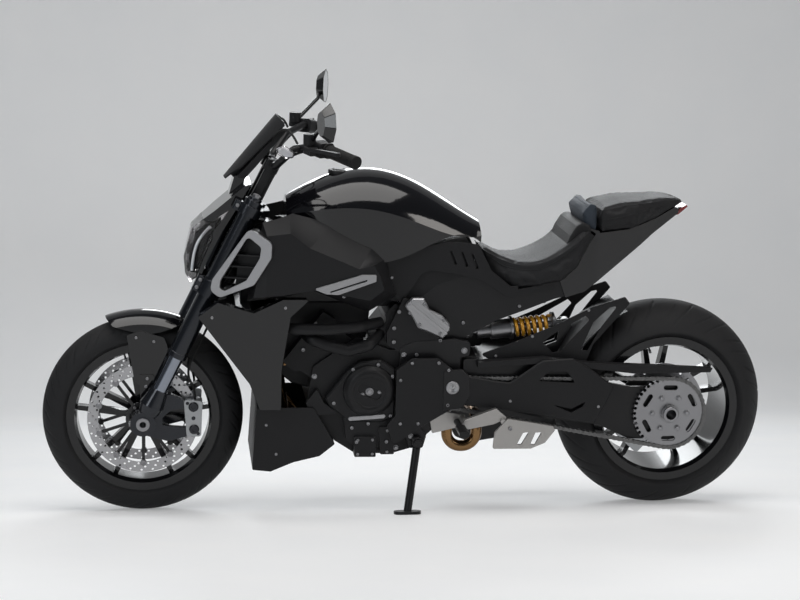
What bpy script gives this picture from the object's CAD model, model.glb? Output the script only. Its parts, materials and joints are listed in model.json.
import json
import math
import bmesh
import bpy
from mathutils import Matrix, Vector
from mathutils.bvhtree import BVHTree

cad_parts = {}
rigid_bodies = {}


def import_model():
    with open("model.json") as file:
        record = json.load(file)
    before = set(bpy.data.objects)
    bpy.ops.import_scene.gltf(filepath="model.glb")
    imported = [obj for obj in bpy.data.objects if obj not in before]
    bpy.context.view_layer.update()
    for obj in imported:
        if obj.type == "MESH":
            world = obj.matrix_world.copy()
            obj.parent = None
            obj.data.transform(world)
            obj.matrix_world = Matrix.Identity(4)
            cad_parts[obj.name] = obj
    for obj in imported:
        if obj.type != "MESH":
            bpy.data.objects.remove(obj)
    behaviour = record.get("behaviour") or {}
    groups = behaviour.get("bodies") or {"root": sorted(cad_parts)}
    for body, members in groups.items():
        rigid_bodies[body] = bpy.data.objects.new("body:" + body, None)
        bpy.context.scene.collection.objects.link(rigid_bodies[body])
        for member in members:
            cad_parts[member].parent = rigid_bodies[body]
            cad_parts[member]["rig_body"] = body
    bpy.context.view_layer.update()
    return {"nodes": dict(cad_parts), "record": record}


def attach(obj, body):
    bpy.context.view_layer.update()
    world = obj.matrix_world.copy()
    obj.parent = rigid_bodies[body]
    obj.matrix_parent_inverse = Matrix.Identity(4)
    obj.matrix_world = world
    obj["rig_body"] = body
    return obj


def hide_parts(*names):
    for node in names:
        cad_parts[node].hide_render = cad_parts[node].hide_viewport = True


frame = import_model()
nodes = frame["nodes"]
scene = bpy.context.scene
print("frame loaded", len(nodes), "nodes")

# The machine is described upright in millimetres, X forward from the rear axle, Y left, Z up
stance = {"lean": 11.0, "pitch": 0.04626, "place": (-0.784747, -0.238539, 0.0024216)}
bikePlace = (Matrix.Translation(stance["place"])
             @ Matrix.Rotation(math.radians(stance["pitch"]), 4, "Y")
             @ Matrix.Rotation(-math.radians(stance["lean"]), 4, "X"))
bikeInverse = bikePlace.inverted()
wheels = {"front": (1593.0, 300.0), "rear": (0.0, 324.0)}
fork = {"rake": 26.0, "legHalf": 110.0, "top": 752.0}
sides = ((1, "left"), (-1, "right"))


def metres(x, y, z):
    return Vector((x / 1000, y / 1000, z / 1000))


def onBike(x, y, z):
    return bikePlace @ metres(x, y, z)


# A heading given in the machine's own axes
def bikeWay(heading):
    return (bikePlace.to_3x3() @ Vector(heading)).normalized()


# In node trees an input takes a number, a colour or the output of another node
def feed(tree, node, inputs):
    for label, value in inputs.items():
        if isinstance(value, bpy.types.NodeSocket):
            tree.links.new(value, node.inputs[label])
        else:
            node.inputs[label].default_value = value
    return node


def newNode(tree, kind, inputs, **settings):
    node = tree.nodes.new(kind)
    for label, value in settings.items():
        setattr(node, label, value)
    return feed(tree, node, inputs)


def mathNode(tree, operation, a, b, clamp=False):
    return newNode(tree, "ShaderNodeMath", {0: a, 1: b}, operation=operation, use_clamp=clamp).outputs[0]


def objectCoords(tree):
    return tree.nodes.new("ShaderNodeTexCoord").outputs["Object"]


def noiseNode(tree, scale, detail):
    inputs = {"Vector": objectCoords(tree), "Scale": scale, "Detail": detail}
    return newNode(tree, "ShaderNodeTexNoise", inputs).outputs["Fac"]


def colourMix(tree, factor, first, second):
    inputs = {"Factor": factor, "A": first, "B": second}
    return newNode(tree, "ShaderNodeMix", inputs, data_type="RGBA").outputs["Result"]


# A shader group whose inputs are numbers. Its outputs are given with their kinds
def newGroup(name, inputs, outputs):
    group = bpy.data.node_groups.new(name, "ShaderNodeTree")
    for label, value in inputs.items():
        socket = group.interface.new_socket(label, in_out="INPUT", socket_type="NodeSocketFloat")
        socket.default_value = value
    for label, kind in outputs.items():
        group.interface.new_socket(label, in_out="OUTPUT", socket_type="NodeSocket" + kind)
    return group, group.nodes.new("NodeGroupInput").outputs, group.nodes.new("NodeGroupOutput")


def grainGroup():
    group, given, out = newGroup("fine grain", {"Scale": 400.0, "Mottle": 6.0, "Spread": 0.1},
                                 {"Height": "Float", "Mottling": "Float"})
    centred = mathNode(group, "SUBTRACT", noiseNode(group, given["Mottle"], 5), 0.5)
    feed(group, out, {"Height": noiseNode(group, given["Scale"], 3),
                      "Mottling": mathNode(group, "MULTIPLY", centred, given["Spread"])})
    return group


def edgeGroup():
    group, given, out = newGroup("rubbed edges", {"Width": 0.0016, "Amount": 0.5},
                                 {"Edge": "Float", "Rounded": "Vector"})
    rounded = newNode(group, "ShaderNodeBevel", {"Radius": given["Width"]}, samples=4).outputs["Normal"]
    sharp = group.nodes.new("ShaderNodeNewGeometry").outputs["Normal"]
    dot = newNode(group, "ShaderNodeVectorMath", {0: rounded, 1: sharp}, operation="DOT_PRODUCT")
    bent = mathNode(group, "SUBTRACT", 1.0, dot.outputs["Value"])
    worn = mathNode(group, "MULTIPLY", mathNode(group, "MULTIPLY", bent, 6.0), noiseNode(group, 35, 6))
    feed(group, out, {"Edge": mathNode(group, "MULTIPLY", worn, given["Amount"], clamp=True),
                      "Rounded": rounded})
    return group


def dustGroup():
    group, given, out = newGroup("settled dust", {"Amount": 0.15}, {"Dust": "Float"})
    normal = group.nodes.new("ShaderNodeNewGeometry").outputs["Normal"]
    rise = newNode(group, "ShaderNodeSeparateXYZ", {0: normal}).outputs["Z"]
    spread = mathNode(group, "MULTIPLY", mathNode(group, "MAXIMUM", rise, 0.0), noiseNode(group, 60, 8))
    feed(group, out, {"Dust": mathNode(group, "MULTIPLY", spread, given["Amount"], clamp=True)})
    return group


groups = {"grain": grainGroup(), "edge": edgeGroup(), "dust": dustGroup()}


def groupNode(tree, name, inputs):
    return newNode(tree, "ShaderNodeGroup", inputs, node_tree=groups[name]).outputs


def newMaterial(name):
    material = bpy.data.materials.new(name)
    material.use_nodes = True
    return material, material.node_tree, material.node_tree.nodes["Principled BSDF"]


# One line a finish: colour, roughness, metallic, coat, grain scale, grain depth, edge rub, rub colour, dust
finishes = {
    "tyre_rubber": ((0.013, 0.013, 0.014), 0.66, 0.0, 0.0, 260, 0.10, 0.0, (0.1, 0.1, 0.1), 0.12),
    "gloss_black": ((0.003, 0.003, 0.004), 0.10, 0.0, 0.5, 900, 0.004, 0.0, (0.1, 0.1, 0.1), 0.02),
    "wheel_black": ((0.004, 0.004, 0.005), 0.18, 0.0, 0.4, 900, 0.01, 0.10, (0.16, 0.16, 0.16), 0.03),
    "matt_black": ((0.009, 0.009, 0.010), 0.50, 0.0, 0.0, 1400, 0.08, 0.08, (0.06, 0.06, 0.06), 0.05),
    "engine_black": ((0.012, 0.012, 0.013), 0.42, 0.2, 0.0, 700, 0.10, 0.30, (0.20, 0.20, 0.20), 0.08),
    "frame_black": ((0.009, 0.009, 0.010), 0.36, 0.15, 0.1, 900, 0.04, 0.20, (0.15, 0.15, 0.15), 0.05),
    "satin_silver": ((0.32, 0.32, 0.33), 0.36, 0.85, 0.0, 900, 0.04, 0.15, (0.55, 0.55, 0.55), 0.08),
    "bare_steel": ((0.25, 0.25, 0.26), 0.32, 1.0, 0.0, 500, 0.05, 0.2, (0.5, 0.5, 0.5), 0.08),
    "disc_steel": ((0.36, 0.36, 0.37), 0.28, 1.0, 0.0, 500, 0.03, 0.1, (0.6, 0.6, 0.6), 0.05),
    "chain_steel": ((0.13, 0.13, 0.13), 0.38, 1.0, 0.0, 500, 0.08, 0.3, (0.4, 0.4, 0.4), 0.10),
    "dark_chrome": ((0.24, 0.26, 0.30), 0.10, 1.0, 0.0, 900, 0.005, 0.0, (0.6, 0.6, 0.6), 0.0),
    "fork_black": ((0.012, 0.014, 0.019), 0.22, 0.6, 0.3, 900, 0.01, 0.25, (0.3, 0.3, 0.32), 0.05),
    "caliper_grey": ((0.33, 0.34, 0.35), 0.38, 0.9, 0.0, 700, 0.06, 0.2, (0.6, 0.6, 0.6), 0.10),
    "gold_spring": ((0.62, 0.30, 0.02), 0.22, 0.3, 0.6, 900, 0.01, 0.05, (0.8, 0.6, 0.3), 0.05),
    "cast_aluminium": ((0.36, 0.35, 0.34), 0.42, 0.95, 0.0, 600, 0.10, 0.2, (0.6, 0.6, 0.6), 0.15),
    "pipe_bronze": ((0.22, 0.13, 0.06), 0.26, 1.0, 0.0, 700, 0.02, 0.0, (0.3, 0.3, 0.3), 0.10),
    "silencer_black": ((0.02, 0.02, 0.021), 0.42, 0.5, 0.0, 800, 0.05, 0.2, (0.2, 0.2, 0.2), 0.15),
    "grip_rubber": ((0.014, 0.014, 0.014), 0.75, 0.0, 0.0, 500, 0.2, 0.0, (0.1, 0.1, 0.1), 0.10),
    "tail_red": ((0.22, 0.01, 0.01), 0.12, 0.0, 0.6, 900, 0.005, 0.0, (0.1, 0.1, 0.1), 0.0),
}
dustColour = (0.32, 0.30, 0.28, 1)


def finishMaterial(name, look):
    colour, rough, metal, coat, scale, depth, rub, rubColour, dust = look
    material, tree, shader = newMaterial(name.replace("_", " "))
    grain = groupNode(tree, "grain", {"Scale": scale, "Spread": 0.16 if rough > 0.2 else 0.04})
    edge = groupNode(tree, "edge", {"Amount": rub})
    film = groupNode(tree, "dust", {"Amount": dust})["Dust"]
    worn = colourMix(tree, edge["Edge"], (*colour, 1), (*rubColour, 1))
    dusty = colourMix(tree, mathNode(tree, "MULTIPLY", film, 0.35), worn, dustColour)
    uneven = mathNode(tree, "ADD", grain["Mottling"], rough, clamp=True)
    uneven = mathNode(tree, "ADD", uneven, mathNode(tree, "MULTIPLY", film, 0.5), clamp=True)
    bump = newNode(tree, "ShaderNodeBump", {"Strength": min(1.0, depth * 4), "Distance": 0.0004,
                                            "Height": grain["Height"], "Normal": edge["Rounded"]})
    feed(tree, shader, {"Metallic": metal, "Coat Weight": coat, "Coat Roughness": 0.04,
                        "Base Color": dusty, "Roughness": uneven, "Normal": bump.outputs["Normal"]})
    if metal < 0.3:
        shader.inputs["Specular IOR Level"].default_value = 0.25
    return material


finish = {name: finishMaterial(name, look) for name, look in finishes.items()}


def vinylMaterial(name, colour, rough, cell):
    material, tree, shader = newMaterial(name)
    cells = newNode(tree, "ShaderNodeTexVoronoi", {"Vector": objectCoords(tree), "Scale": cell},
                    feature="DISTANCE_TO_EDGE")
    grain = groupNode(tree, "grain", {"Scale": cell * 2, "Spread": 0.25})
    film = groupNode(tree, "dust", {"Amount": 0.12})["Dust"]
    lift = mathNode(tree, "ADD", film, mathNode(tree, "MULTIPLY", grain["Mottling"], 2.0), clamp=True)
    tint = colourMix(tree, lift, (*colour, 1), (*[c * 1.7 for c in colour], 1))
    valley = mathNode(tree, "MINIMUM", mathNode(tree, "MULTIPLY", cells.outputs["Distance"], 6.0), 1.0)
    height = mathNode(tree, "ADD", valley, mathNode(tree, "MULTIPLY", grain["Height"], 0.4))
    bump = newNode(tree, "ShaderNodeBump", {"Strength": 0.35, "Distance": 0.0005, "Height": height})
    feed(tree, shader, {"Base Color": tint, "Specular IOR Level": 0.22, "Normal": bump.outputs["Normal"],
                        "Roughness": mathNode(tree, "ADD", grain["Mottling"], rough, clamp=True)})
    return material


def glassMaterial():
    material, tree, shader = newMaterial("lamp glass")
    feed(tree, shader, {"Base Color": (0.96, 0.93, 0.94, 1), "Roughness": 0.03, "Transmission Weight": 1.0,
                        "IOR": 1.35})
    return material


def mirrorMaterial():
    material, tree, shader = newMaterial("mirror glass")
    mottling = groupNode(tree, "grain", {"Spread": 0.03})["Mottling"]
    feed(tree, shader, {"Base Color": (0.75, 0.77, 0.8, 1), "Metallic": 1.0,
                        "Roughness": mathNode(tree, "ADD", mottling, 0.04, clamp=True)})
    return material


def stripMaterial():
    material, tree, shader = newMaterial("lamp strip")
    bands = newNode(tree, "ShaderNodeTexWave", {"Vector": objectCoords(tree), "Scale": 160}).outputs["Fac"]
    tint = colourMix(tree, bands, (0.55, 0.57, 0.60, 1), (0.78, 0.80, 0.82, 1))
    feed(tree, shader, {"Base Color": tint, "Roughness": 0.25})
    return material


finish["seat_vinyl"] = vinylMaterial("seat vinyl", (0.012, 0.012, 0.013), 0.56, 700)
finish["pad_vinyl"] = vinylMaterial("pad vinyl", (0.030, 0.038, 0.050), 0.58, 700)
finish["lamp_glass"] = glassMaterial()
finish["mirror_glass"] = mirrorMaterial()
finish["lamp_strip"] = stripMaterial()

slotOf = {s["node"]: s["material_slot"] for s in frame["record"]["subparts"]}
for name, node in nodes.items():
    look = finish[slotOf[name]]
    if not node.material_slots:
        node.data.materials.append(look)
    for slot in node.material_slots:
        slot.material = look
print("finishes made", len(finish))


def newObject(name, data):
    made = bpy.data.objects.new(name, data)
    scene.collection.objects.link(made)
    return made


def finishPiece(piece, slotName, body, standsFor=()):
    piece.data.materials.clear()
    piece.data.materials.append(finish[slotName])
    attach(piece, body)
    if standsFor:
        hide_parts(*standsFor)
    return piece


def setSmooth(mesh, smooth):
    mesh.polygons.foreach_set("use_smooth", [smooth] * len(mesh.polygons))


def cleanMesh(mesh, merge, outward=True):
    work = bmesh.new()
    work.from_mesh(mesh)
    if merge:
        bmesh.ops.remove_doubles(work, verts=work.verts, dist=merge)
    if outward:
        bmesh.ops.recalc_face_normals(work, faces=work.faces)
    work.to_mesh(mesh)
    work.free()


# With merge, points nearer than it, in metres, are joined and the faces are turned outwards
def newPiece(name, points, faces, smooth=True, merge=None):
    mesh = bpy.data.meshes.new(name)
    mesh.from_pydata([tuple(p) for p in points], [], faces)
    if merge is not None:
        cleanMesh(mesh, merge)
    setSmooth(mesh, smooth)
    return newObject(name, mesh)


# What an object's modifiers make of it, as a mesh
def madeMesh(made):
    return bpy.data.meshes.new_from_object(made.evaluated_get(bpy.context.evaluated_depsgraph_get()))


# The piece's own mesh becomes what its modifiers make of it
def madePlain(piece):
    bpy.context.view_layer.update()
    mesh = madeMesh(piece)
    piece.modifiers.clear()
    piece.data = mesh


# Points and faces of a profile (radius, along) turned about local Z of place, in millimetres
def latheShape(profile, place, turns):
    count = len(profile)
    points, faces = [], []
    for step in range(turns):
        angle = 2 * math.pi * step / turns
        points += [place @ metres(radius * math.cos(angle), radius * math.sin(angle), along)
                   for radius, along in profile]
        here, there = step * count, (step + 1) % turns * count
        faces += [(here + k, there + k, there + k + 1, here + k + 1) for k in range(count - 1)]
    return points, faces


# Faces of a prism: one ring of points from number first, and the other ring after it
def prismFaces(count, first=0):
    faces = [tuple(range(first, first + count)), tuple(range(first + 2 * count - 1, first + count - 1, -1))]
    return faces + [(first + k, first + k + count, first + (k + 1) % count + count, first + (k + 1) % count)
                    for k in range(count)]


# A place on the machine whose local Z runs along a heading
def aimed(spot, heading):
    turn = bikeWay(heading).to_track_quat("Z", "Y")
    return Matrix.Translation(onBike(*spot)) @ turn.to_matrix().to_4x4()


def turned(name, profile, spot, heading, slotName, body, turns=32):
    points, faces = latheShape(profile, aimed(spot, heading), turns)
    finishPiece(newPiece(name, points, faces, merge=0.00002), slotName, body)


def skinOf(mesh):
    return BVHTree.FromPolygons([v.co for v in mesh.vertices], [p.vertices for p in mesh.polygons])


skins = {name: skinOf(node.data) for name, node in nodes.items()}


# Where a line along a heading, from a spot outside, first meets a CAD node
def met(node, spot, heading):
    hit = skins[node].ray_cast(onBike(*spot), bikeWay(heading), 0.6)[0]
    if hit is None:
        print("nothing met", node, spot)
        return None
    return tuple(1000 * (bikeInverse @ hit))


# Up the fork leg by w from the front axle, ahead of it by u
def forkSpot(u, w, y):
    sine, cosine = math.sin(math.radians(fork["rake"])), math.cos(math.radians(fork["rake"]))
    return (wheels["front"][0] + u * cosine - w * sine, y, wheels["front"][1] + u * sine + w * cosine)


# A round hose or rod through points on the machine, as a plain mesh
def hose(name, points, radius, slotName, body):
    curve = bpy.data.curves.new(name + "_line", "CURVE")
    curve.dimensions = "3D"
    curve.bevel_depth = radius / 1000
    curve.bevel_resolution = 3
    curve.resolution_u = 8
    curve.use_fill_caps = True
    line = curve.splines.new("NURBS")
    line.points.add(len(points) - 1)
    for point, spot in zip(line.points, points):
        point.co = (*onBike(*spot), 1.0)
    line.order_u = 3
    line.use_endpoint_u = True
    holder = newObject(name + "_line", curve)
    bpy.context.view_layer.update()
    mesh = madeMesh(holder)
    bpy.data.objects.remove(holder)
    bpy.data.curves.remove(curve)
    setSmooth(mesh, True)
    finishPiece(newObject(name, mesh), slotName, body)


# An outline (x, z) on the machine made into a slab between two lateral places
def slab(name, outline, low, high, slotName, body, bevel):
    points = [onBike(x, y, z) for y in (low, high) for x, z in outline]
    piece = newPiece(name, points, prismFaces(len(outline)), smooth=False, merge=0.00001)
    edge = piece.modifiers.new("edge", "BEVEL")
    edge.width = bevel / 1000
    edge.segments = 2
    edge.limit_method = "ANGLE"
    madePlain(piece)
    finishPiece(piece, slotName, body)


# Tyres: a grid round each wheel whose tread is cut with swept grooves
tyres = {
    "front": {"radius": 300.0, "width": 120.0, "crown": 60.0, "rim": 88.0, "grooves": 20, "reach": 0.80,
              "sweep": 0.20, "across": 88},
    "rear": {"radius": 324.0, "width": 240.0, "crown": 130.0, "rim": 200.0, "grooves": 16, "reach": 0.86,
             "sweep": 0.26, "across": 110},
}
tread = {"bead": 226.0, "steps": 760, "deep": 3.4, "halfWidth": 3.4, "offTread": 9.0,
         "wallRings": ((0.18, 0.24), (0.86, 0.90)), "ringHeight": 0.7}


# Points (radius, across, share of the half tread, sidewall mark) from one bead to the other
def tyreProfile(size, count):
    half, rim, crown = size["width"] / 2, size["rim"] / 2, size["crown"]
    centre = size["radius"] - crown
    edgeAngle = math.asin(min(1.0, half / crown))
    shoulder = centre + crown * math.cos(edgeAngle)
    walls = count // 5
    treads = count - 2 * walls

    def wallRow(side, t):
        return (tread["bead"] + (shoulder - tread["bead"]) * t,
                side * (rim + (half - rim) * math.sin(t * math.pi / 2)), tread["offTread"], t)

    rows = [wallRow(-1, k / walls) for k in range(walls)]
    for k in range(treads + 1):
        t = -1 + 2 * k / treads
        angle = t * edgeAngle
        rows.append((centre + crown * math.cos(angle), crown * math.sin(angle), t, tread["offTread"]))
    return rows + [wallRow(1, 1 - (k + 1) / walls) for k in range(walls)]


# How deep the tread is cut at a share of its half width and a turn round the wheel
def grooveDepth(share, turn, size):
    deep = 0.0
    side = abs(share)
    for start, low, high, lead, wide in ((0.0, 0.10, size["reach"], size["sweep"], 1.0),
                                         (0.5, 0.30, size["reach"] * 0.9, size["sweep"] * 0.8, 0.8)):
        if side < low or side > high:
            continue
        t = (side - low) / (high - low)
        shift = (start + (0.25 if share > 0 else 0.0)) + lead * size["grooves"] * (t ** 1.4) * 0.16
        phase = (turn * size["grooves"] / (2 * math.pi) - shift) % 1.0
        gap = min(phase, 1 - phase) * 2 * math.pi * size["radius"] / size["grooves"]
        reach = tread["halfWidth"] * wide * min(1.0, 4 * t + 0.35, 4 * (1 - t) + 0.35)
        if gap < reach:
            deep = max(deep, tread["deep"] * (1 - (gap / reach) ** 4))
    return deep


def makeTyre(end):
    size = tyres[end]
    place = bikePlace @ Matrix.Translation(metres(wheels[end][0], 0, wheels[end][1]))
    rows = tyreProfile(size, size["across"])
    count, steps = len(rows), tread["steps"]
    points, faces = [], []
    for step in range(steps):
        turn = 2 * math.pi * step / steps
        for radius, across, share, wall in rows:
            if share < tread["offTread"]:
                radius -= grooveDepth(share, turn, size)
            elif any(low < wall < high for low, high in tread["wallRings"]):
                across += math.copysign(tread["ringHeight"], across)
            points.append(place @ metres(radius * math.sin(turn), across, radius * math.cos(turn)))
        here, there = step * count, (step + 1) % steps * count
        faces += [(here + k, here + k + 1, there + k + 1, there + k) for k in range(count - 1)]
        faces.append((here + count - 1, here, there, there + count - 1))
    piece = newPiece(end + "_tyre_tread", points, faces)
    finishPiece(piece, "tyre_rubber", end + "_wheel", [end + "_tyre"])


for end in tyres:
    makeTyre(end)
print("tyres made")


# Copies of a small shape on many spots: a Geometry Nodes tree that reads each spot's turn and size
def copiesTree():
    tree = bpy.data.node_groups.new("placed copies", "GeometryNodeTree")
    kinds = {"Geometry": "Geometry", "Shape": "Object", "Scale": "Float", "Finish": "Material"}
    for label, kind in kinds.items():
        tree.interface.new_socket(label, in_out="INPUT", socket_type="NodeSocket" + kind)
    tree.interface.new_socket("Geometry", in_out="OUTPUT", socket_type="NodeSocketGeometry")
    given, out = tree.nodes.new("NodeGroupInput").outputs, tree.nodes.new("NodeGroupOutput")
    shape = newNode(tree, "GeometryNodeObjectInfo", {"Object": given["Shape"]})
    turn = newNode(tree, "GeometryNodeInputNamedAttribute", {"Name": "turn"}, data_type="FLOAT_VECTOR")
    size = newNode(tree, "GeometryNodeInputNamedAttribute", {"Name": "size"}, data_type="FLOAT")
    toTurn = newNode(tree, "FunctionNodeEulerToRotation", {0: turn.outputs["Attribute"]})
    place = newNode(tree, "GeometryNodeInstanceOnPoints", {
        "Points": given["Geometry"], "Instance": shape.outputs["Geometry"], "Rotation": toTurn.outputs[0],
        "Scale": mathNode(tree, "MULTIPLY", size.outputs["Attribute"], given["Scale"])})
    whole = newNode(tree, "GeometryNodeRealizeInstances", {"Geometry": place.outputs["Instances"]})
    coat = newNode(tree, "GeometryNodeSetMaterial", {"Geometry": whole.outputs["Geometry"],
                                                     "Material": given["Finish"]})
    feed(tree, out, {"Geometry": coat.outputs["Geometry"]})
    return tree


copies = copiesTree()
copiesInputs = {item.name: item.identifier for item in copies.interface.items_tree
                if item.item_type == "SOCKET" and item.in_out == "INPUT"}


# spots holds (matrix, size) pairs; the shape is one unit across its own local XY
def scatter(name, shape, spots, slotName, body, smooth=False):
    mesh = bpy.data.meshes.new(name)
    mesh.from_pydata([tuple(place.translation) for place, size in spots], [], [])
    turn = mesh.attributes.new("turn", "FLOAT_VECTOR", "POINT")
    turn.data.foreach_set("vector", [a for place, size in spots for a in place.to_euler()])
    sizes = mesh.attributes.new("size", "FLOAT", "POINT")
    sizes.data.foreach_set("value", [size for place, size in spots])
    piece = newObject(name, mesh)
    layer = piece.modifiers.new("copies", "NODES")
    layer.node_group = copies
    layer[copiesInputs["Shape"]] = shape
    layer[copiesInputs["Scale"]] = 1.0
    layer[copiesInputs["Finish"]] = finish[slotName]
    madePlain(piece)
    setSmooth(piece.data, smooth)
    return finishPiece(piece, slotName, body)


def pattern(name, turns, *profile):
    points, faces = latheShape([(r * 1000, a * 1000) for r, a in profile], Matrix.Identity(4), turns)
    return newPiece(name + "_pattern", points, faces, smooth=False, merge=0.0005)


# Profiles of one unit radius, along local Z
patterns = {
    "socket": pattern("socket", 12, (1.0, -0.4), (1.0, 0.72), (0.86, 0.92), (0.55, 0.92), (0.50, 0.35),
                      (0, 0.35)),
    "hexagon": pattern("hexagon", 6, (1.0, -0.3), (1.0, 0.62), (0.80, 0.78), (0, 0.78)),
    "washer": pattern("washer", 14, (1.35, -0.2), (1.35, 0.12), (1.0, 0.16), (0, 0.16)),
    "button": pattern("button", 16, (1.0, -0.3), (1.0, 0.16), (0.82, 0.34), (0.42, 0.34), (0.36, 0.12),
                      (0, 0.12)),
    "ring": pattern("ring", 24, (1.0, -0.2), (1.0, 0.30), (0.92, 0.38), (0.66, 0.38), (0.62, -0.2)),
}


def bothSides(kind, *bolts):
    return (1, kind, bolts), (-1, kind, bolts)


# Bolts on a circle round the crankshaft
def crankCircle(count, circle, start, radius):
    angles = [start + 2 * math.pi * a / count for a in range(count)]
    return tuple((880 + circle * math.cos(a), 400 + circle * math.sin(a), radius) for a in angles)


# Bolts that sit where a line across the machine meets the node: side, kind, then (x, z, radius)
sideBolts = {
    "engine_covers": (
        (1, "socket", ((974, 469, 5.5), (899, 483, 5.5), (856, 447, 5.5), (859, 325, 5.5), (974, 288, 5.5),
                       (870, 246, 5.5), (960, 246, 5.5), (925, 300, 5.5), (1030, 366, 5.5), (1098, 338, 5.5),
                       (720, 492, 5.0), (800, 492, 5.0), (690, 470, 5.0), (690, 362, 5.0), (832, 306, 5.0),
                       (778, 306, 5.0), (834, 440, 5.0), (956, 208, 4.5), (912, 208, 4.5), (956, 252, 4.5),
                       (912, 252, 4.5), (868, 214, 4.5), (868, 280, 4.5))),
        (1, "hexagon", ((946, 395, 4.5), (895, 402, 4.5), (925, 404, 9.0))),
        (-1, "socket", crankCircle(10, 95, 0, 5.0) + crankCircle(6, 68, 0.5, 4.5)),
    ),
    "cam_covers": ((1, "socket", ((808, 640, 5.0), (764, 668, 5.0), (706, 618, 5.0), (716, 576, 5.0),
                                  (778, 604, 5.0))),),
    "cylinder_heads": ((1, "socket", ((852, 590, 6.0), (838, 640, 6.0), (712, 552, 5.5), (782, 508, 6.0),
                                      (852, 548, 6.0), (1120, 520, 6.0), (1084, 600, 5.0))),
                       (-1, "socket", ((1120, 520, 6.0), (720, 600, 6.0), (800, 620, 6.0)))),
    "crankcase": ((1, "hexagon", ((836, 216, 6.0), (1086, 440, 6.0))),
                  (-1, "hexagon", ((1060, 300, 6.0), (760, 470, 6.0), (1060, 420, 6.0)))),
    "pivot_plates": ((1, "hexagon", ((638, 520, 7.0), (820, 508, 6.0), (796, 262, 6.0))),
                     (-1, "hexagon", ((638, 520, 7.0), (820, 508, 6.0), (766, 262, 6.0), (679, 421, 15.0)))),
    "swingarm_cover": ((1, "button", ((500, 372, 4.5), (228, 352, 4.5))),),
    "foot_brackets": bothSides("socket", (508, 302, 6.0), (700, 330, 6.0)),
    "frame_head": bothSides("hexagon", (1012, 760, 7.0), (1150, 690, 7.0)),
    "subframe": bothSides("socket", (640, 600, 5.5), (470, 650, 5.0)),
    "side_covers": bothSides("button", (860, 740, 4.5)),
    "radiator_shrouds": bothSides("button", (1392, 640, 4.5), (1180, 668, 4.5)),
    "belly_pan": bothSides("button", (1230, 300, 4.5), (1200, 210, 4.5)),
    "front_fender": bothSides("button", (1584, 404, 5.0), (1580, 428, 5.0), (1560, 540, 4.5),
                              (1612, 552, 4.5)),
    "rear_hugger": bothSides("button", (540, 500, 4.5), (430, 560, 4.5), (260, 640, 4.5)),
    "front_calipers": bothSides("button", (1444, 345, 15.0), (1442, 276, 15.0), (1444, 310, 6.0),
                                (1462, 356, 5.0), (1430, 262, 5.0)),
    "rear_caliper": ((-1, "socket", ((76, 214, 6.0), (100, 250, 6.0))),),
    "silencer": ((-1, "socket", ((560, 300, 5.0), (420, 300, 5.0), (300, 290, 5.0))),),
    "intake_housings": bothSides("button", (1010, 700, 4.5)),
    "swingarm": ((1, "hexagon", ((100, 292, 6.0),)),),
}
boltSlots = {"front_calipers": "fork_black"}
boltSpots = {}


# places holds (spot, heading, radius)
def addBolts(body, kind, places, slotName="bare_steel"):
    for spot, heading, radius in places:
        if spot:
            boltSpots.setdefault((body, kind, slotName), []).append((aimed(spot, heading), radius / 1000))


def coverBolts():
    for node, rows in sideBolts.items():
        for side, kind, bolts in rows:
            places = [(met(node, (x, side * 330, z), (0, -side, 0)), (0, side, 0), radius)
                      for x, z, radius in bolts]
            addBolts(nodes[node]["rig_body"], kind, places, boltSlots.get(node, "bare_steel"))


def forkBolts():
    up = (-math.sin(math.radians(fork["rake"])), 0, math.cos(math.radians(fork["rake"])))
    top = fork["top"]
    for side in (-1, 1):
        legY = side * fork["legHalf"]
        addBolts("steering", "hexagon", [(forkSpot(0, top, legY), up, 13.0)])
        addBolts("steering", "button", [(forkSpot(0, top + 9, legY), up, 7.0)])
        places = [(forkSpot(40, w, side * 125), (0, side, 0), 5.5) for w in (442, 466, 711)]
        places += [(met("fork_feet", (1750, side * y, 296), (-1, 0, 0)), (1, 0, 0), 5.0) for y in (90, 114)]
        places.append((met("handlebar", (1206, side * 45, 1300), (0, 0, -1)), (0, 0, 1), 5.0))
        addBolts("steering", "socket", places)


def wheelBolts():
    x, z = wheels["front"]
    for side in (-1, 1):
        for step in range(10):
            angle = math.radians(18 + 36 * step)
            spot = (x + 136 * math.cos(angle), side * 66.8, z + 136 * math.sin(angle))
            addBolts("front_wheel", "button", [(spot, (0, side, 0), 9.5)])
            if step % 2:
                spot = (x + 42 * math.cos(angle), side * 62, z + 42 * math.sin(angle))
                addBolts("front_wheel", "socket", [(spot, (0, side, 0), 4.5)])
    x, z = wheels["rear"]
    for step in range(6):
        angle = math.radians(60 * step)
        spot = (x + 54 * math.cos(angle), 156.5, z + 54 * math.sin(angle))
        addBolts("rear_wheel", "hexagon", [(spot, (0, 1, 0), 7.0)])
    addBolts("rear_wheel", "ring", [((x, 165.4, z), (0, 1, 0), 24.0)])


coverBolts()
forkBolts()
wheelBolts()
for (body, kind, slotName), spots in boltSpots.items():
    scatter(f"{kind}s_{slotName}_{body}", patterns[kind], spots, slotName, body)
scatter("washers_chassis", patterns["washer"], boltSpots["chassis", "hexagon", "bare_steel"], "bare_steel",
        "chassis")
print("bolts placed", sum(len(spots) for spots in boltSpots.values()))

# Drive chain: plates on every pitch of the loop, rollers only where the teeth don't run
chain = {"pitch": 15.875, "links": 124, "y": 150.0, "front": (752.0, 402.0, 15), "rear": (0.0, 324.0, 43),
         "plate": 6.4, "waist": 4.5, "thick": 1.5, "inner": 4.7, "outer": 6.3, "pin": 2.6, "roller": 5.0,
         "backs": 9.0, "clear": {"rear": 120.0, "front": 48.0}}


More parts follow.
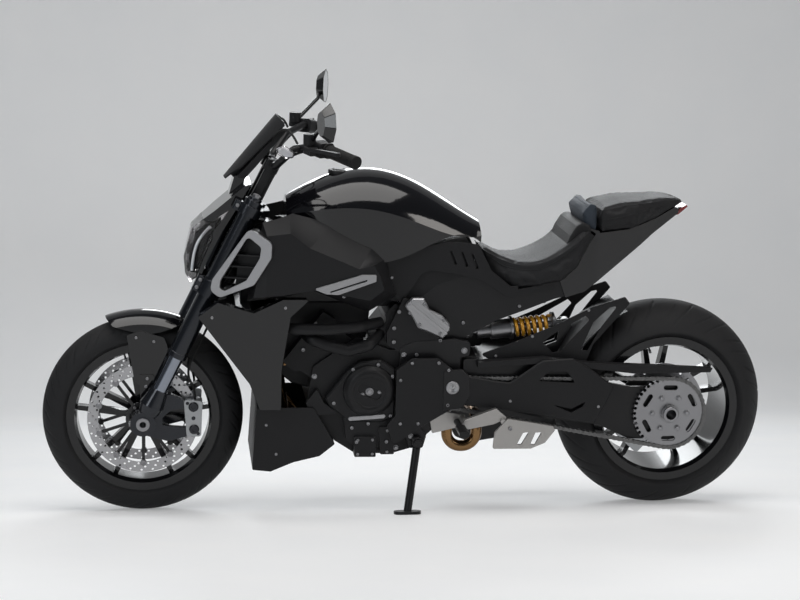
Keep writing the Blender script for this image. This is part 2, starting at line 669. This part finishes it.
# The pins' places (x, z): up the top run, round the front sprocket, back and round the rear one
def chainLoop():
    ends = [chain[end] for end in ("rear", "front")]
    rearReach, frontReach = [chain["pitch"] / 2 / math.sin(math.pi / teeth) for x, z, teeth in ends]
    rear, front = [Vector((x, z)) for x, z, teeth in ends]
    gap = front - rear
    base = math.atan2(gap.y, gap.x)
    spread = math.acos((rearReach - frontReach) / gap.length)
    straight = math.sqrt(gap.length ** 2 - (rearReach - frontReach) ** 2)
    rearWrap = 2 * math.pi - 2 * spread
    stretches = [straight, frontReach * 2 * spread, straight, rearReach * rearWrap]
    total = sum(stretches)

    def onRear(angle):
        return rear + rearReach * Vector((math.cos(angle), math.sin(angle)))

    def onFront(angle):
        return front + frontReach * Vector((math.cos(angle), math.sin(angle)))

    def spotAt(run):
        run = run % total
        for index, length in enumerate(stretches):
            if run <= length or index == 3:
                break
            run -= length
        share = run / stretches[index]
        top, low = base + spread, base - spread
        if index == 0:
            return onRear(top).lerp(onFront(top), share)
        if index == 1:
            return onFront(top - 2 * spread * share)
        if index == 2:
            return onFront(low).lerp(onRear(low), share)
        return onRear(low - rearWrap * share)

    back = sum(stretches[:3]) + stretches[3] / 2
    middle = base - math.pi
    step = 2 * math.pi / chain["rear"][2]
    toothGap = round(middle / step) * step
    start = back - (toothGap - middle) * rearReach
    return [spotAt(start + total * k / chain["links"]) for k in range(chain["links"])]


# A figure-of-eight side plate, long way along local X, in metres
def plateShape(name, low, half):
    outline = []
    for end in (1, -1):
        for k in range(9):
            angle = math.radians(-100 + 25 * k) + (0 if end > 0 else math.pi)
            outline.append((end * chain["pitch"] / 2 + half * math.cos(angle), half * math.sin(angle)))
        outline.append((0.0, end * chain["waist"]))
    points, faces = [], []
    for side in (-1, 1):
        faces += prismFaces(len(outline), len(points))
        points += [metres(x, side * y, z) for y in (low, low + chain["thick"]) for x, z in outline]
    return newPiece(name, points, faces, smooth=False, merge=0.0)


def makeChain():
    pins = chainLoop()
    inner = plateShape("inner_plate_pattern", chain["inner"], chain["plate"])
    outer = plateShape("outer_plate_pattern", chain["outer"], chain["plate"] - 0.3)
    pinShape = pattern("pin", 8, (chain["pin"], chain["inner"]), (chain["pin"], chain["backs"] - 0.4),
                       (chain["pin"] * 0.7, chain["backs"]), (0, chain["backs"]))
    rollerShape = pattern("roller", 12, (0, -chain["inner"]), (chain["roller"], -chain["inner"]),
                          (chain["roller"], chain["inner"]), (0, chain["inner"]))
    inners, outers, ends, rollers = [], [], [], []
    sideways = bikeWay((0, 1, 0))
    for k, spot in enumerate(pins):
        after = pins[(k + 1) % len(pins)]
        middle = (spot + after) / 2
        place = Matrix.Translation(onBike(middle.x, chain["y"], middle.y))
        heading = bikeWay((after.x - spot.x, 0, after.y - spot.y))
        turn = Matrix((heading, sideways, heading.cross(sideways))).transposed().to_4x4()
        (outers if k % 2 else inners).append((place @ turn, 1.0))
        for side in (-1, 1):
            ends.append((aimed((spot.x, chain["y"], spot.y), (0, side, 0)), 0.001))
        if all((spot - Vector(chain[end][:2])).length > reach for end, reach in chain["clear"].items()):
            rollers.append((aimed((spot.x, chain["y"], spot.y), (0, 1, 0)), 0.001))
    plates = scatter("chain_inner_plates", inner, inners, "chain_steel", "chassis")
    scatter("chain_outer_plates", outer, outers, "chain_steel", "chassis")
    scatter("chain_pins", pinShape, ends, "chain_steel", "chassis")
    scatter("chain_rollers", rollerShape, rollers, "chain_steel", "chassis", smooth=True)
    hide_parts("drive_chain")
    for shape in (inner, outer, pinShape, rollerShape):
        bpy.data.objects.remove(shape)


makeChain()
print("chain made")

# Seats: each pad swells from its own solid as stuffed vinyl does
seats = {
    "rider_seat": {"voxel": 0.006, "shrink": 0.0045, "cap": 0.0055, "fill": 0.75, "slot": "seat_vinyl"},
    "passenger_seat": {"voxel": 0.005, "shrink": 0.0040, "cap": 0.0050, "fill": 0.75, "slot": "seat_vinyl"},
    "seat_pad": {"voxel": 0.004, "shrink": 0.0035, "cap": 0.0045, "fill": 0.65, "slot": "pad_vinyl"},
}
stuffing = {"pressure": 4.0, "quality": 4, "frames": 20}


def swell(piece, cap):
    cloth = piece.modifiers.new("stuffing", "CLOTH")
    cloth.settings.use_pressure = True
    cloth.settings.uniform_pressure_force = stuffing["pressure"]
    cloth.settings.effector_weights.gravity = 0
    cloth.settings.quality = stuffing["quality"]
    before = [v.co.copy() for v in piece.data.vertices]
    for step in range(stuffing["frames"]):
        scene.frame_set(step + 1)
    mesh = madeMesh(piece)
    piece.modifiers.clear()
    for vertex, start in zip(mesh.vertices, before):
        move = vertex.co - start
        if move.length > cap:
            vertex.co = start + move * (cap / move.length)
    piece.data = mesh
    scene.frame_set(1)


def makeSeat(key):
    size = seats[key]
    mesh = nodes[key].data.copy()
    cleanMesh(mesh, 0.00002, outward=False)
    piece = newObject(key + "_cover", mesh)
    remesh = piece.modifiers.new("remesh", "REMESH")
    remesh.mode = "VOXEL"
    remesh.voxel_size = size["voxel"]
    smooth = piece.modifiers.new("smooth", "SMOOTH")
    smooth.factor = 0.5
    smooth.iterations = 4
    madePlain(piece)
    normals = [v.normal.copy() for v in piece.data.vertices]
    for vertex, normal in zip(piece.data.vertices, normals):
        vertex.co -= normal * size["shrink"]
    swell(piece, size["cap"])
    finer = piece.modifiers.new("finer", "SUBSURF")
    finer.levels = 1
    finer.render_levels = 1
    madePlain(piece)
    setSmooth(piece.data, True)
    finishPiece(piece, size["slot"], "chassis", [key])
    skins[piece.name] = skinOf(piece.data)


for key in seats:
    makeSeat(key)
print("seats made")

# Seams: a thin welt and a row of stitches that lie on the cover. Each point is (x, y, z) of a line
# that comes in along the heading
seams = {
    "rider_side": {"piece": "rider_seat_cover", "heading": (0, -1, 0), "slot": "seat_vinyl", "mirror": True,
                   "line": [(566, 300, 800), (520, 300, 770), (470, 300, 762), (420, 300, 768),
                            (360, 300, 800), (316, 300, 836), (282, 300, 868)]},
    "rider_back": {"piece": "rider_seat_cover", "heading": (0, 0, -1), "slot": "seat_vinyl", "mirror": False,
                   "line": [(330, y, 1100) for y in (-136, -100, -60, -20, 20, 60, 100, 136)]},
    "passenger_side": {"piece": "passenger_seat_cover", "heading": (0, -1, 0), "slot": "seat_vinyl",
                       "mirror": True, "line": [(228, 300, 914), (170, 300, 924), (110, 300, 938),
                                                (60, 300, 949), (20, 300, 957)]},
    "pad_top": {"piece": "seat_pad_cover", "heading": (0, 0, -1), "slot": "pad_vinyl", "mirror": False,
                "line": [(268, y, 1100) for y in (-92, -60, -30, 0, 30, 60, 92)]},
}
stitch = {"length": 3.2, "every": 5.5, "aside": 3.5, "welt": 1.1}


# Where lines along the heading meet the cover, at 8 places on each stretch of the seam's line
def seamSpots(piece, line, heading):
    spots = []
    for start, end in zip(line, line[1:]):
        for part in range(8):
            spot = Vector(start).lerp(Vector(end), part / 8)
            hit, normal = skins[piece].ray_cast(onBike(*spot), bikeWay(heading), 0.9)[:2]
            if hit is not None:
                spots.append((hit, normal))
    return spots


def makeSeams():
    capsule = pattern("stitch", 6, (0, -0.5), (0.16, -0.42), (0.19, 0.0), (0.16, 0.42), (0, 0.5))
    stitches = {}
    for name, seam in seams.items():
        for side in ((1, -1) if seam["mirror"] else (1,)):
            line = [(x, y * side, z) for x, y, z in seam["line"]]
            heading = (seam["heading"][0], seam["heading"][1] * side, seam["heading"][2])
            spots = seamSpots(seam["piece"], line, heading)
            route = [tuple(1000 * (bikeInverse @ hit)) for hit, normal in spots]
            label = f"{name}_welt" if side > 0 else f"{name}_welt_right"
            hose(label, route, stitch["welt"], seam["slot"], "chassis")
            run = 0.0
            for (here, up), after in zip(spots, spots[1:]):
                step = after[0] - here
                while run < step.length:
                    along = step.normalized()
                    across = along.cross(up).normalized()
                    place = Matrix.Translation(here + along * run + across * stitch["aside"] / 1000)
                    turn = along.to_track_quat("Z", "Y").to_matrix().to_4x4()
                    stitches.setdefault(seam["slot"], []).append((place @ turn, stitch["length"] / 1000))
                    run += stitch["every"] / 1000
                run -= step.length
    for slotName, spots in stitches.items():
        scatter("stitches_" + slotName, capsule, spots, slotName, "chassis", smooth=True)
    bpy.data.objects.remove(capsule)


makeSeams()
print("seams made")

# Radiator core: thin fins between flat tubes, on the plane that the core's face lies in
core = {"low": 384.0, "high": 610.0, "half": 136.0, "rows": 20, "fins": 84, "tube": 2.4, "tubeHalf": 2.6,
        "finHalf": 1.9, "finThick": 0.5, "finTurn": 0.32}


def boxShape(name, x, y, z):
    corners = [metres(i * x, j * y, k * z) for i in (-1, 1) for j in (-1, 1) for k in (-1, 1)]
    return newPiece(name, corners, [(0, 1, 3, 2), (4, 6, 7, 5), (0, 4, 5, 1), (2, 3, 7, 6), (0, 2, 6, 4),
                                    (1, 5, 7, 3)], smooth=False)


def makeCore():
    low, high = [Vector((spot[0], 0, spot[2])) for spot in
                 [met("radiator", (1700, 60, z), (-1, 0, 0)) for z in (core["low"], core["high"])]]
    up = (high - low).normalized()
    rise = (high - low).length / core["rows"]
    tubes, fins = [], []
    turn = Matrix([bikeWay(axis) for axis in ((0, 1, 0), (up.z, 0, -up.x), up)]).transposed().to_4x4()
    for row in range(core["rows"] + 1):
        spot = low + up * rise * row
        tubes.append((Matrix.Translation(onBike(spot.x, 0, spot.z)) @ turn, 1.0))
        middle = spot + up * rise / 2
        for k in range(core["fins"] if row < core["rows"] else 0):
            y = -core["half"] + 2 * core["half"] * (k + 0.5) / core["fins"]
            slant = Matrix.Rotation(core["finTurn"] if k % 2 else -core["finTurn"], 4, "Y")
            fins.append((Matrix.Translation(onBike(middle.x, y, middle.z)) @ turn @ slant, 1.0))
    tubeShape = boxShape("tube_pattern", core["half"], core["tubeHalf"], core["tube"] / 2)
    finShape = boxShape("fin_pattern", core["finThick"] / 2, core["finHalf"], rise / 2)
    scatter("radiator_tubes", tubeShape, tubes, "engine_black", "chassis")
    scatter("radiator_fins", finShape, fins, "engine_black", "chassis")
    for shape in (tubeShape, finShape):
        bpy.data.objects.remove(shape)


makeCore()
print("radiator core made")

# Headlamp: a dark core behind the clear lens with a pale strip and two projectors down each side
lamp = {"outline": [(1405, 890), (1436, 866), (1456, 784), (1452, 744), (1440, 744), (1404, 832),
                    (1366, 905)],
        "half": 58.0, "strip": [(1392, 884), (1428, 852), (1446, 790), (1448, 752)], "stripAt": 66.0,
        "projectors": ((1438, 846, 21.0), (1450, 786, 17.0))}
slab("headlamp_core", lamp["outline"], -lamp["half"], lamp["half"], "matt_black", "steering", bevel=4)
for side, word in sides:
    route = [(x, side * lamp["stripAt"], z) for x, z in lamp["strip"]]
    hose("headlamp_strip_" + word, route, 4.5, "lamp_strip", "steering")
    for x, z, radius in lamp["projectors"]:
        profile = ((radius, -14), (radius, 2), (radius - 3, 4), (radius - 5, 2), (radius - 5, -2),
                   (radius * 0.5, 5), (0, 7))
        turned(f"projector_{word}_{z}", profile, (x + 2, side * 27, z), (0.97, 0, 0.24), "satin_silver",
               "steering")

# The pale reflectors inside the clear indicators
blinker = {"outline": [(1210, 1136), (1192, 1142), (1167, 1126), (1169, 1115), (1189, 1115), (1208, 1125)],
           "low": 239.5, "high": 260.5}
for side, word in sides:
    low, high = sorted((side * blinker["low"], side * blinker["high"]))
    slab("indicator_core_" + word, blinker["outline"], low, high, "lamp_strip", "steering", bevel=2)

# The rolled rear edge of the rider's seat, under the pad
seatRoll = {"outline": [(336, 836), (324, 866), (306, 895), (296, 903), (280, 904), (264, 896), (258, 876)],
            "half": 117.0}
slab("seat_roll", seatRoll["outline"], -seatRoll["half"], seatRoll["half"], "seat_vinyl", "chassis", bevel=6)

# Tank filler with its ring of bolts. The profile is (radius less than the rim's, along)
filler = {"x": 1010.0, "radius": 34.0, "bolts": 6, "circle": 29, "boltRadius": 2.8,
          "profile": ((0, -8), (0, 1.5), (2, 3), (9, 3), (10, 1), (14, 1), (15, 4), (34, 5))}
spot = met("fuel_tank", (filler["x"], 0, 1300), (0, 0, -1))
turned("tank_filler", [(filler["radius"] - inset, along) for inset, along in filler["profile"]], spot,
       (-0.02, 0, 1), "engine_black", "chassis", turns=48)
fillerBolts = []
for k in range(filler["bolts"]):
    angle = 2 * math.pi * k / filler["bolts"]
    place = (spot[0] + filler["circle"] * math.cos(angle), filler["circle"] * math.sin(angle), spot[2] + 2)
    fillerBolts.append((aimed(place, (0, 0, 1)), filler["boltRadius"] / 1000))
scatter("filler_bolts", patterns["socket"], fillerBolts, "bare_steel", "chassis")

# The panel between the sprocket cover and the swingarm, with the pivot's cover on it
pivot = {"outline": [(704, 466), (650, 472), (628, 452), (622, 392), (646, 352), (704, 346)], "low": 160.0,
         "high": 175.0, "place": (677, 174, 416),
         "profile": ((20, -4), (20, 3), (18, 5), (12, 5), (10, 2), (6, 2), (5, 4), (0, 4))}
slab("pivot_panel", pivot["outline"], pivot["low"], pivot["high"], "frame_black", "chassis", bevel=2)
turned("pivot_cover", pivot["profile"], pivot["place"], (0, 1, 0), "satin_silver", "chassis", turns=40)

# What fills the V of the engine and the space under the shock absorber, behind the hoses
fillings = {"front_intake": ([(915, 655), (1195, 655), (1204, 450), (1150, 405), (1095, 390), (1080, 440),
                              (930, 520)], -60.0, 60.0),
            "rear_duct": ([(704, 566), (590, 566), (556, 548), (566, 506), (704, 492)], -70.0, 14.0)}
for name, (outline, low, high) in fillings.items():
    slab(name, outline, low, high, "matt_black", "chassis", bevel=4)

# The plain silver strip on the alternator's cover
strip = {"line": [(982, 317), (878, 324)], "half": 6.5, "rise": 3.0}


def makeStrip():
    seat = met("engine_covers", (930, 330, 320), (0, -1, 0))
    (x1, z1), (x2, z2) = strip["line"]
    h = strip["half"]
    outline = [(x1, z1 - h), (x1 + 5, z1), (x1, z1 + h), (x2, z2 + h), (x2 - 5, z2), (x2, z2 - h)]
    slab("engine_strip", outline, seat[1] - 2, seat[1] + strip["rise"], "satin_silver", "chassis", bevel=1.2)


makeStrip()

# Ribbed rubber sleeves over the bar's ends: end is the tip, before a spot on the bar's straight end
grip = {"end": (1012, 402, 1122), "before": (1101, 268, 1148), "length": 106.0, "radius": 17.2, "ribs": 26,
        "ribHeight": 1.1}


def makeGrips():
    pitch = (grip["length"] - 8) / grip["ribs"]
    top = grip["radius"] + grip["ribHeight"]
    profile = [(grip["radius"] - 0.6, 0.0)]
    for k in range(grip["ribs"]):
        base = 4 + k * pitch
        profile += [(grip["radius"], base), (top, base + 0.3 * pitch), (top, base + 0.6 * pitch),
                    (grip["radius"], base + 0.85 * pitch)]
    profile.append((grip["radius"] - 0.6, grip["length"] - 2))
    for side, word in sides:
        tip, before = [Vector((x, side * y, z)) for x, y, z in (grip["end"], grip["before"])]
        heading = (tip - before).normalized()
        start = tip - heading * grip["length"]
        turned("grip_sleeve_" + word, profile, start, heading, "grip_rubber", "steering", turns=36)


makeGrips()

# Hoses that the machine holds from end to end
brakeHose = [(1440, 84, 360), (1436, 92, 392), forkSpot(-46, 190, 98), forkSpot(-46, 290, 96),
             forkSpot(-44, 380, 92), forkSpot(-20, 418, 74), forkSpot(20, 424, 40), forkSpot(24, 428, 6)]
switchWire = [(1136, 226, 1126), (1160, 180, 1112), (1190, 120, 1084), (1220, 76, 1020), (1256, 60, 940)]
barHoses = {
    "clutch_line": [(1152, 214, 1148), (1166, 170, 1176), (1186, 120, 1180), (1216, 70, 1150),
                    (1232, 34, 1060), (1254, 22, 950)],
    "switch_wire": switchWire,
    "throttle_wire": [(x, -y, z) for x, y, z in switchWire],
    "brake_line": [(1152, -214, 1148), (1166, -170, 1178), (1186, -120, 1184), (1214, -76, 1150),
                   (1228, -60, 1060), (1258, -50, 950)],
}
hoseRadius = {"brake": 3.6, "bar": 3.4}
for side, word in sides:
    route = [(x, side * y, z) for x, y, z in brakeHose]
    hose("brake_hose_" + word, route, hoseRadius["brake"], "grip_rubber", "steering")
for name, route in barHoses.items():
    hose(name, route, hoseRadius["bar"], "grip_rubber", "steering")
turned("hose_splitter", ((9, -9), (10, -6), (10, 6), (9, 9), (0, 9)), forkSpot(24, 430, 0), (0, 0, 1),
       "bare_steel", "steering")

# The valve stems of both wheels: how far from the middle of the wheel, in the plane and across
valves = {"front": (206.0, 28.0), "rear": (206.0, 70.0)}
valveProfile = ((5.5, -6), (5.5, 2), (3, 5), (3, 20), (3.8, 20), (3.8, 30), (0, 31))
valveTurn = math.radians(74)
for end, (radius, across) in valves.items():
    x, z = wheels[end]
    spot = (x + radius * math.cos(valveTurn), across, z + radius * math.sin(valveTurn))
    heading = (-math.cos(valveTurn), 0.45, -math.sin(valveTurn))
    turned("valve_" + end, valveProfile, spot, heading, "bare_steel", end + "_wheel", turns=14)
print("details made")

for shape in patterns.values():
    bpy.data.objects.remove(shape)

# Camera, floor and light. Places are in metres, in the scene's own axes
view = {"eye": (0.72505, 5.179261, 0.7292), "aim": (0.037653, -0.088539, 0.6375), "lens": 78.97,
        "sensor": 36.0}


def aimAt(holder, spot, aim):
    holder.location = spot
    holder.rotation_euler = (Vector(aim) - Vector(spot)).to_track_quat("-Z", "Y").to_euler()


camera = newObject("camera", bpy.data.cameras.new("camera"))
camera.data.lens = view["lens"]
camera.data.sensor_width = view["sensor"]
aimAt(camera, view["eye"], view["aim"])
scene.camera = camera

stage = {"glow": 0.30, "wide": 40.0, "half": 30.0, "front": 9.0, "back": -5.0, "rise": 14.0, "bend": 1.5,
         "below": 0.0005, "wideBelow": 0.002, "shades": ((0.70, 0.71, 0.72, 1), (0.76, 0.76, 0.76, 1))}


def floorMaterial():
    material, tree, shader = newMaterial("pale floor")
    tint = colourMix(tree, noiseNode(tree, 3, 6), *stage["shades"])
    rays = tree.nodes.new("ShaderNodeLightPath").outputs
    seen = mathNode(tree, "MAXIMUM", rays["Is Camera Ray"], rays["Is Glossy Ray"])
    seen = mathNode(tree, "MAXIMUM", seen, rays["Is Transmission Ray"])
    feed(tree, shader, {"Base Color": tint, "Roughness": 0.55, "Emission Color": tint,
                        "Emission Strength": mathNode(tree, "MULTIPLY", seen, stage["glow"])})
    back = tree.nodes.new("ShaderNodeNewGeometry").outputs["Backfacing"]
    clear = tree.nodes.new("ShaderNodeBsdfTransparent").outputs["BSDF"]
    sheet = newNode(tree, "ShaderNodeMixShader", {"Fac": back, 1: shader.outputs["BSDF"], 2: clear})
    feed(tree, tree.nodes["Material Output"], {"Surface": sheet.outputs["Shader"]})
    return material


def makeFloor():
    half, back, bend, wide = stage["half"], stage["back"], stage["bend"], stage["wide"]
    rows = [(stage["front"], 0.0), (back + bend, 0.0)]
    rows += [(back + bend - bend * math.sin(a * math.pi / 16), bend - bend * math.cos(a * math.pi / 16))
             for a in range(1, 9)]
    rows.append((back, stage["rise"]))
    points = [(x, y, z - stage["below"]) for y, z in rows for x in (-half, half)]
    faces = [(2 * k, 2 * k + 2, 2 * k + 3, 2 * k + 1) for k in range(len(rows) - 1)]
    faces.append(tuple(len(points) + k for k in range(4)))
    corners = ((-wide, -wide), (wide, -wide), (wide, wide), (-wide, wide))
    points += [(x, y, -stage["wideBelow"]) for x, y in corners]
    floor = newPiece("floor", points, faces)
    floor.data.materials.append(floorMaterial())


makeFloor()

# name, place, aim, size, power, colour
lamps = (("top_softbox", (0.2, 0.9, 3.6), (0.0, 0.0, 0.5), (4.2, 2.2), 95, (1.0, 0.98, 0.96)),
         ("front_softbox", (3.4, 3.6, 2.4), (0.2, 0.0, 0.6), (1.6, 2.2), 55, (0.93, 0.97, 1.0)),
         ("rear_softbox", (-3.6, 3.2, 1.9), (-0.3, 0.0, 0.5), (1.2, 1.8), 36, (1.0, 0.96, 0.92)),
         ("back_rim", (-0.6, -3.4, 2.6), (0.0, 0.0, 0.7), (3.0, 1.0), 60, (0.95, 0.98, 1.0)))
for name, spot, aim, size, power, colour in lamps:
    light = bpy.data.lights.new(name, "AREA")
    light.shape = "RECTANGLE"
    light.size, light.size_y = size
    light.energy = power
    light.color = colour
    aimAt(newObject(name, light), spot, aim)
sky = {"Color": (0.75, 0.8, 0.86, 1), "Strength": 0.14}
world = bpy.data.worlds.new("studio")
scene.world = world
world.use_nodes = True
feed(world.node_tree, world.node_tree.nodes["Background"], sky)
scene.view_settings.view_transform = "Standard"
print("stage set")
